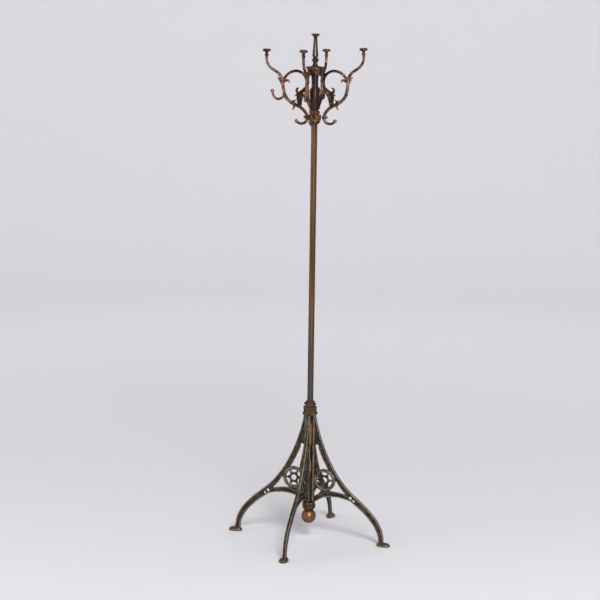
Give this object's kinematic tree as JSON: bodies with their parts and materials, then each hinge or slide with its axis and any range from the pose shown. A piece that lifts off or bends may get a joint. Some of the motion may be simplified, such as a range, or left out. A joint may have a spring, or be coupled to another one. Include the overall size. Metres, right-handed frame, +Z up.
{
  "type": "coat rack",
  "caption": "Free-standing cast-iron coat rack: pierced arched legs, slender round pole and a turning head of scroll arms with coat hooks and hat pegs.",
  "frame": {"origin": "on the floor, on the pole's axis, between the four feet", "axes": "+Z up along the pole; the legs lie along +X, +Y, -X and -Y; the head's arms are turned a few degrees from the legs about +Z"},
  "size_m": [0.61, 0.61, 1.8],
  "materials": {
    "cast_iron_bronzed": "olive-brown bronzed patina, worn on the edges",
    "cast_iron_dark": "dark bronzed patina with rust-orange stains",
    "cast_iron_coppered": "copper-bronze patina, dark in the hollows",
    "coppered_fittings": "worn copper-brown patina",
    "pole_bronzed": "brown lacquered steel pipe, satin",
    "ball_copper": "copper-brown patina, satin",
    "plain_steel": "plain, dull",
    "brass_washer": "dull"
  },
  "bodies": {
    "stand": {"leg_right": "cast_iron_bronzed", "leg_back": "cast_iron_bronzed", "leg_left": "cast_iron_bronzed", "leg_front": "cast_iron_bronzed", "pole": "pole_bronzed", "base_collar": "cast_iron_bronzed", "neck_ring": "coppered_fittings", "ring_screw_left": "coppered_fittings", "ring_screw_right": "coppered_fittings", "base_hub": "cast_iron_bronzed", "hub_washer": "cast_iron_bronzed", "ball": "ball_copper", "tie_rod": "plain_steel", "tie_nut": "plain_steel", "stop_ring": "coppered_fittings", "thrust_washer": "brass_washer", "pole_cap": "brass_washer"},
    "head": {"arm_block": "coppered_fittings", "flange_ring": "coppered_fittings", "crown": "cast_iron_dark", "finial": "cast_iron_dark", "arm_right": "cast_iron_coppered", "arm_back": "cast_iron_coppered", "arm_left": "cast_iron_coppered", "arm_front": "cast_iron_coppered", "arm_screw_right": "coppered_fittings", "arm_screw_back": "coppered_fittings", "arm_screw_left": "coppered_fittings", "arm_screw_front": "coppered_fittings", "crown_screw_right": "cast_iron_dark", "crown_screw_back": "cast_iron_dark", "crown_screw_left": "cast_iron_dark", "crown_screw_front": "cast_iron_dark"}
  },
  "joints": [
    {"name": "head_turn", "type": "hinge", "parent": "stand", "child": "head", "pos_m": [0, 0, 1.5], "axis": [0, 0, 1], "continuous": true}
  ]
}
